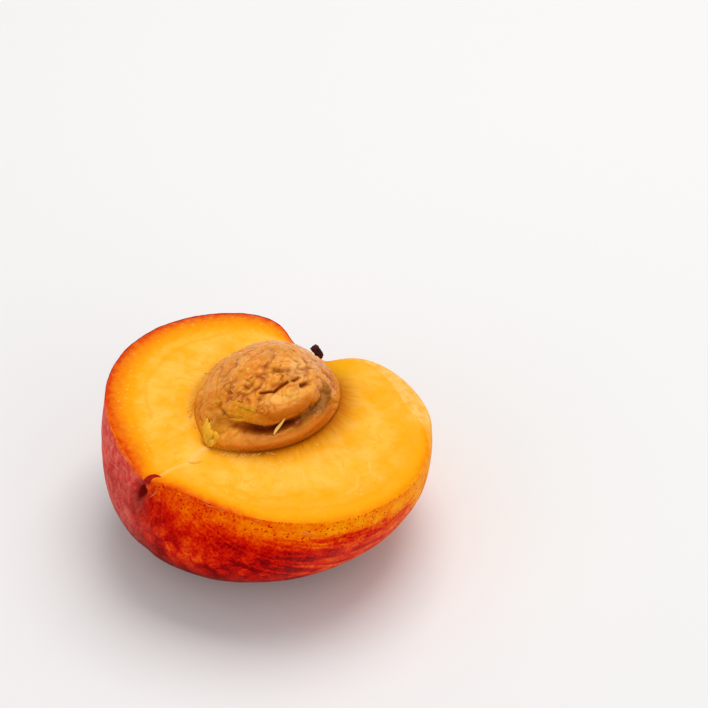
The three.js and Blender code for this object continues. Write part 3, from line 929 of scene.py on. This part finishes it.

# %% Where the stone changes colour
# The marks below paint light and shade onto the stone's colour: darker in its hollows, creases and pits, in
# the groove and its olive right end, under the tongue and along the foot at the cut, and lighter on the
# tongue, on the keel's crest and on the upper side.
above = lift - keel_crest(turned)
in_groove = bell(lift - groove_lift(turned) + 2.4 * span(turned, 60, 120, 16), 4.4)
open_top = fade * (1 - 0.45 * patches(turned, lift, (1, 82, 36, 57, 13)))
lower = span(turned, 80, 206, 30) * (1 - ramp(lift, 30, 44))
plan = from_above(turned, lift, radius)
pit_shades = [depth * bell(near_line(*plan, corners), 0.8 * half) for depth, half, corners in PITS]
paint_marks(stone_mesh, {
    # Painted shade: darker by depth in the hollows, creases and pits.
    "depth": open_top * np.clip(-(large + patches(turned, lift, SHOULDER) + small) / 1.7, 0, 1),
    "crease_shade": open_top * np.clip((-small - 0.06) / 0.42, 0, 1),
    "pit_shade": np.clip(np.max(pit_shades, axis=0), 0, 1),
    "keel": span(turned, 64, 158, 20) * (1 - ramp(above, -1, 2)),
    # Painted highlight along the keel's crest.
    "keel_crest_highlight": (span(turned, 70, 178, 20) - 0.6 * span(turned, 60, 118, 20)) * bell(above + 2.4, 2.6),
    # Painted shadow in the groove under the tongue; its right end is an olive colour that is painted shade
    # too.
    "groove": (0.3 * span(turned, 112, 166, 14) + 0.7 * span(turned, 110, 157, 12)) * in_groove,
    "olive_groove_shade": span(turned, 50, 120, 20) * in_groove,
    # Painted shade on the tongue's underside.
    "tongue_underside_shade": band(turned, lift, 92, 150, 18, 18.5, 7) + 0.7 * band(turned, lift, 74, 164, 24, 12, 4),
    # The tongue's top is paler, partly its own colour and partly painted light; the upper side gets a painted
    # highlight.
    "tongue": band(turned, lift, 84, 152, 24, 29, 8),
    "top_highlight": patches(turned, lift, (1, 56, 34, 62, 12)),
    "lower": np.maximum(lower, span(turned, 8, 90, 20) * (1 - ramp(lift, 16, 30))),
    # Painted shadow along the stone's foot, where it meets the cut.
    "foot_shadow": span(turned, 84, 158, 20) * (1 - ramp(lift, 0.5, 3)),
    "remnant": patches(turned, lift, (1, 183, 11, 5, 8), (0.5, 165, 9, 25, 6)),
    "brown": patches(turned, lift, (1, 180, 6.5, 16.5, 5)),
    "clinging": bell(turn(turned, 182), 9) * (1 - ramp(lift, 2.5, 6)),
})

# %% Stone material


def make_stone():
    material, tree, shader, spot = new_material("peach_stone")
    close = clouds(tree, spot, 1.3, 0.34, 0.68, 3)
    # Painted shade in the hollows and creases, the deeper the darker.
    low = maths(tree, "MAXIMUM", painted(tree, "depth"), painted(tree, "crease_shade"))
    stuck_flesh = blend(tree, close, (216, 148, 0), (236, 172, 14))
    bright_flesh = blend(tree, close, (244, 166, 0), (252, 196, 60))
    base = blend(tree, clouds(tree, spot, 5.0, 0.36, 0.64, 2), (220, 126, 26), (230, 150, 54))
    # Paler where the lump noise is high, the same noise that makes the bumps: partly the wood's own tone and
    # partly a painted highlight on the lump tops.
    base = lay(tree, base, close, 0.4, (246, 182, 92))
    base = lay(tree, base, clouds(tree, spot, 3.2, 0.50, 0.64, 2), 0.5, (210, 140, 20))
    # Layers from the lowest up. Painted shade: under the tongue, in hollows, creases and pits, in the groove
    # and its olive end, and along the foot. Painted light: the tongue's paler top, in part, the top highlight
    # and the keel's crest highlight.
    for amount, weight, shade in (("lower", 0.55, (212, 122, 2)), ("tongue", 0.6, (246, 186, 90)),
                                  ("top_highlight", 0.7, (254, 200, 120)), ("tongue_underside_shade", 0.8, (190, 98, 0)),
                                  (low, 0.8, (158, 60, 0)), ("pit_shade", 0.6, (134, 36, 0)),
                                  ("keel", 0.75, (198, 104, 6)), ("keel_crest_highlight", 0.6, (230, 146, 58)),
                                  ("olive_groove_shade", 0.9, (118, 62, 0)), ("groove", 0.92, (112, 30, 0)),
                                  ("foot_shadow", 0.6, (140, 50, 0)), ("remnant", 0.85, stuck_flesh),
                                  ("brown", 0.7, (160, 84, 0)), ("clinging", 0.9, bright_flesh)):
        base = lay(tree, base, amount, weight, shade)
    finish(tree, shader, {"Base Color": base, "Roughness": remap(tree, close, 0.0, 1.0, 0.3, 0.12),
                          "Normal": bumpy(tree, close, 0.2),
                          "Specular IOR Level": 0.5, "Specular Tint": colour(255, 178, 88),
                          "Subsurface Weight": 0.45, "Subsurface Radius": (1.0, 0.35, 0.1),
                          "Subsurface Scale": 0.0014})
    return material


stone = piece("peach_stone", stone_mesh, make_stone())
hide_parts("stone")

# %% [markdown]
# ## The stem
# All that is left of the stem is a short dry stub, a few millimetres long. It is a bent, slightly flared
# rod whose rings are pushed in and out along its length, as shrunken wood is ribbed.

# %% Stem mesh
STEM_FOOT = np.array((-0.4, 32.3, -2.7))
STEM_TOP = np.array((-1.7, 31.0, 0.3))
STEM_RADIUS = 0.82
STEM_BOW = 0.15
STEM_RINGS = 40
STEM_SIDES = 48
axis = unit(STEM_TOP - STEM_FOOT)
sideways = unit(np.cross((0, 0, 1), axis))
upward = np.cross(axis, sideways)
along = np.linspace(0, 1, STEM_RINGS)[:, None, None]
about = np.arange(0, 360, 360 / STEM_SIDES)[:, None]
out = sideways * cosd(about) + upward * sind(about)
ribs = 1 + 0.13 * cosd(7 * about + 40 * along) + 0.08 * cosd(3 * about)
girth = STEM_RADIUS * (1 + 0.05 * along ** 2) * ribs * np.minimum(1, 9 * (1 - along) + 0.62)
stem_axis = STEM_FOOT + (STEM_TOP - STEM_FOOT) * along + upward * STEM_BOW * np.sin(np.pi * along)
stem_rings = stem_axis + girth * out
stem_rings = stem_rings + 0.18 * rough(stem_rings, 0.7, 21)[..., None] * out
stem_tip = stem_rings[-1].mean(0) + (0.12, 0, 0)
stem_mesh = closed_mesh("peach_stem", stem_rings[0].mean(0), stem_rings, stem_tip)

# %% Stem material


def make_stem():
    material, tree, shader, spot = new_material("peach_stem")
    bark = clouds(tree, spot, 0.7, 0.34, 0.66, 4)
    finish(tree, shader, {"Base Color": blend(tree, bark, (34, 8, 2), (80, 28, 10)),
                          "Roughness": remap(tree, bark, 0.0, 1.0, 0.7, 0.9),
                          "Normal": bumpy(tree, bark, 0.5), "Specular IOR Level": 0.2})
    return material


stem = piece("peach_stem", stem_mesh, make_stem())
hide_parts("stem")

# %% [markdown]
# ## Torn flesh, a curl of skin and scuffs
# When the two halves are twisted apart, the flesh tears off the stone in strands. They stay on the stone's
# tip, round its edge and, here and there, on its furrows, and a pale sliver hangs in the groove. At the
# blossom tip a curl of skin stands up from the cut, and the knife has left a few pale scuffs on the skin
# just below the edge. Each of them is a closed tapered tube along a path. The strands' paths are laid out
# on the stone and the cut by two numbers: the turn round the stone, and a height that is an angle on the
# stone or a distance out on the cut.

# %% Strands
STONE_CORE = np.array([*STONE_CENTRE, -6.0])
TUBE_SIDES = 8
PATH_STEPS = 9
draw = np.random.default_rng(7)


def tube(path, widths, flatness, normal):
    """Rings of a tapered tube along a path, flattened across the given normal."""
    ahead = unit(np.gradient(path, axis=0))
    side = unit(np.cross(normal, ahead))
    about = np.arange(0, 360, 360 / TUBE_SIDES)[:, None]
    across = side[:, None] * cosd(about) + flatness * np.cross(ahead, side)[:, None] * sind(about)
    return path[:, None] + widths[:, None, None] * across


def strands(name, pieces, tints, material):
    """One piece of many closed tubes, each with its own tint from 0 to 1."""
    points, faces, tint = [], [], []
    for (first, tube_rings, last), value in zip(pieces, tints):
        faces += ring_faces(*tube_rings.shape[:2], first=len(points))
        points += [first, *tube_rings.reshape(-1, 3), last]
        tint += [value] * (len(points) - len(tint))
    mesh = new_mesh(name, np.array(points), faces)
    paint(mesh, "tint", tint)
    return piece(name, mesh, material)


def on_stone(turned, height):
    """Ground under a strand: the stone where height is above 0, in degrees, and otherwise the cut, in mm."""
    lift = np.maximum(height, 0)
    smooth = stone_body(turned, lift)
    relief = large_relief(turned, lift, smooth) + fine_relief(stone_place(turned, lift, smooth), turned, lift)
    return stone_place(turned, lift, smooth + relief * ramp(lift, 0, 6) + np.maximum(-height, 0))


def laid(start, end, width, raised=0.0, flatness=0.6):
    """A strand on the stone and the cut, from one (turn, height) to another."""
    share = np.linspace(0, 1, PATH_STEPS)
    turned = start[0] + (end[0] - start[0]) * share + draw.normal(0, 0.8) * np.sin(np.pi * share)
    height = start[1] + (end[1] - start[1]) * share
    path = on_stone(turned, height)
    normal = unit(path - STONE_CORE)
    path = path + normal * (raised * np.sin(np.pi * share) + 0.35 * width)[:, None]
    path = path + draw.normal(0, 0.05, path.shape)
    widths = width * (0.25 + 0.75 * np.sin(np.pi * np.clip(share * 0.9 + 0.05, 0, 1)) ** 0.7)
    tube_rings = tube(path, widths, flatness, normal)
    return path[0] - (path[1] - path[0]) * 0.3, tube_rings, path[-1] + (path[-1] - path[-2]) * 0.3


def make_fibre(name, dark, light):
    material, tree, shader, spot = new_material(name)
    cloudy = maths(tree, "MULTIPLY", clouds(tree, spot, 0.8, 0.3, 0.7, 2), 0.35)
    shade = maths(tree, "ADD", painted(tree, "tint"), cloudy, clamp=True)
    finish(tree, shader, {"Base Color": blend(tree, shade, dark, light), "Roughness": 0.45,
                          "Specular IOR Level": 0.12, "Subsurface Weight": 0.3,
                          "Subsurface Radius": (1.0, 0.5, 0.15), "Subsurface Scale": 0.0008})
    return material


fibre_material = make_fibre("torn_flesh", (204, 126, 4), (250, 198, 104))
flake_material = make_fibre("torn_flakes", (204, 122, 0), (244, 178, 44))
print("made", fibre_material.name, "and", flake_material.name)

# %% Flesh left on the tip of the stone
# Strips, one by one: start and end as (turn, lift), and width.
STRIPS = (((182, 29), (156, 31), 0.5), ((178, 22), (166, 24), 0.42), ((174, 19), (163, 21), 0.36),
          ((167, 31), (157, 29), 0.36), ((190, 26), (196, 19), 0.3), ((236, 24), (248, 33), 0.16),
          ((231, 22), (240, 29), 0.12))
CLUMPS = 9
left_on_tip, tints = [], []
for number in range(CLUMPS):
    start = (draw.uniform(176, 191), draw.uniform(5, 12))
    end = (draw.normal(181, 3), draw.uniform(-0.6, 3))
    left_on_tip.append(laid(start, end, draw.uniform(0.7, 1.15), flatness=0.22))
    tints.append(draw.uniform(0.5, 0.9))
for start, end, width in STRIPS:
    left_on_tip.append(laid(start, end, width, flatness=0.3))
    tints.append(draw.uniform(0.0, 0.4))
tip_flesh = strands("flesh_on_tip", left_on_tip, tints, flake_material)

# %% Fibres round the edge of the stone
FRINGE = 48
fringe = []
for number in range(FRINGE):
    at = draw.uniform(190, 262) if number % 3 else draw.uniform(140, 172)
    start = (at, -draw.uniform(0.1, 1.0))
    end = (at + draw.normal(0, 3), start[1] - draw.uniform(0.5, 1.3))
    fringe.append(laid(start, end, draw.uniform(0.07, 0.13), flatness=0.25))
fringe_flesh = strands("flesh_fringe", fringe, draw.uniform(0.6, 1.0, FRINGE), fibre_material)

# %% Fibres caught on the furrows, and a pale sliver in the groove
# Each row of the sliver: turn, lift, radius and width.
SLIVER = ((129.5, 24.5, 15.1, 0.05), (131, 22, 15.0, 0.2), (132.8, 19.5, 14.9, 0.3), (134.8, 17, 14.95, 0.36),
          (136.6, 15, 15.2, 0.34), (138, 13.3, 15.6, 0.24), (138.6, 12, 16.0, 0.06))
CAUGHT = 18
caught = []
for number in range(CAUGHT):
    start = (draw.uniform(170, 300), draw.uniform(8, 60))
    end = (start[0] + draw.normal(0, 7), start[1] + draw.normal(0, 5))
    caught.append(laid(start, end, draw.uniform(0.05, 0.1), raised=0.08))
*sliver_place, sliver_widths = np.array(SLIVER).T
sliver = stone_place(*sliver_place)
caught.append((sliver[0], tube(sliver, sliver_widths, 0.5, sliver - STONE_CORE), sliver[-1]))
tints = np.append(draw.uniform(0.3, 1.0, CAUGHT), 1.0)
caught_flesh = strands("flesh_on_stone", caught, tints, fibre_material)

# %% A curl of skin at the blossom tip
# Its rows: distances to the right, back and up from its foot, and width.
CURL_AXES = np.array(((0.80, 0.60, 0), (-0.60, 0.80, 0), (0, 0, 1)))
CURL_FOOT = np.array((0.5, -29.2, -0.5))
CURL_FACING = np.array((0.47, -0.62, 0.63))
CURL = np.array(((0, 0, 0, 0.8), (0.1, 0, 0.7, 0.78), (0.4, 0.1, 1.3, 0.66), (0.9, 0.3, 1.75, 0.5),
                 (1.6, 0.7, 1.75, 0.4), (2.3, 1.0, 1.5, 0.26), (2.9, 1.1, 1.2, 0.08)))
curl_path = CURL_FOOT + CURL[:, :3] @ CURL_AXES
curl_rings = tube(curl_path, CURL[:, 3], 0.28, CURL_FACING)
curl_end = curl_path[-1] + (curl_path[-1] - curl_path[-2]) * 0.2
skin_shred = make_fibre("skin_shred", (120, 0, 0), (200, 24, 0))
curl = strands("skin_curl", [(curl_path[0] - (0, 0, 0.1), curl_rings, curl_end)], [0.3], skin_shred)

# %% Scuffs on the skin along the cut
# Each scuff runs through corners of (direction round the cut, angle below it).
SCUFFS = (((268, 3), (268.5, 5), (267.6, 7.4), (266.4, 8.8)), ((288.5, 0.7), (292, 1.1), (295.5, 0.8)),
          ((296.5, 1.2), (299, 0.8)), ((310, 0.9), (312.5, 1.2)), ((326, 3.9), (329, 4.9), (332, 5.4)),
          ((327.5, 3.2), (330, 4.0)), ((281, 1.0), (283.5, 1.6)))
scuffs = []
for corners in SCUFFS:
    at = np.linspace(0, len(corners) - 1, PATH_STEPS)
    path = skin_point(*(np.interp(at, range(len(corners)), row) for row in np.array(corners).T))
    normal = unit(path - middle)
    path = path + 0.1 * normal + draw.normal(0, 0.04, path.shape)
    scuff_rings = tube(path, 0.11 * np.sin(np.pi * np.linspace(0.06, 0.94, PATH_STEPS)), 0.4, normal)
    scuffs.append((path[0], scuff_rings, path[-1]))
scuff_material = make_fibre("skin_scuff", (226, 92, 36), (242, 150, 96))
scuffed = strands("skin_scuffs", scuffs, draw.uniform(0.1, 0.6, len(scuffs)), scuff_material)

# %% [markdown]
# ## Floor and light
# A plain pale floor, an even bright room, one large soft lamp above and behind, and two low weak ones at
# the sides. The large lamp stands on the far side, so that the wet cut and the tops of the ridges catch it,
# and the near side of the skin falls off gently. The two fills keep the shaded skin from going dull.

# %% Floor
FLOOR_HALF = 3.0
floor_corners = [(FLOOR_HALF * x, FLOOR_HALF * y, 0) for x, y in ((-1, -1), (1, -1), (1, 1), (-1, 1))]
floor_mesh = bpy.data.meshes.new("floor")
floor_mesh.from_pydata(floor_corners, [], [(0, 1, 2, 3)])
floor = bpy.data.objects.new("floor", floor_mesh)
bpy.context.scene.collection.objects.link(floor)
floor_material = bpy.data.materials.new("floor")
floor_material.use_nodes = True
floor_shader = floor_material.node_tree.nodes["Principled BSDF"]
finish(floor_material.node_tree, floor_shader, {"Base Color": colour(234, 233, 232), "Roughness": 0.8})
floor.data.materials.append(floor_material)
print("the floor is", 2 * FLOOR_HALF, "m wide")

# %% Lights
LAMPS_AIM = Vector((0, 0, 0.03))
ROOM_LIGHT = 0.55


def soft_lamp(name, azimuth, elevation, distance, size, power):
    """A square area lamp that faces the fruit."""
    data = bpy.data.lights.new(name, "AREA")
    data.shape, data.size, data.energy = "SQUARE", size, power
    lamp = bpy.data.objects.new(name, data)
    bpy.context.scene.collection.objects.link(lamp)
    lamp.location = direction(azimuth, elevation) * distance
    look_at(lamp, LAMPS_AIM)


soft_lamp("overhead", azimuth=190, elevation=70, distance=0.9, size=0.6, power=4.6)
soft_lamp("fill right", azimuth=80, elevation=20, distance=1.2, size=0.9, power=2.3)
soft_lamp("fill left", azimuth=-15, elevation=20, distance=1.2, size=0.9, power=2.3)
room = bpy.data.worlds.new("room")
room.use_nodes = True
finish(room.node_tree, room.node_tree.nodes["Background"], {"Color": (1, 1, 1, 1), "Strength": ROOM_LIGHT})
bpy.context.scene.world = room
bpy.context.scene.view_settings.view_transform = "Standard"
print("lights and room are set")
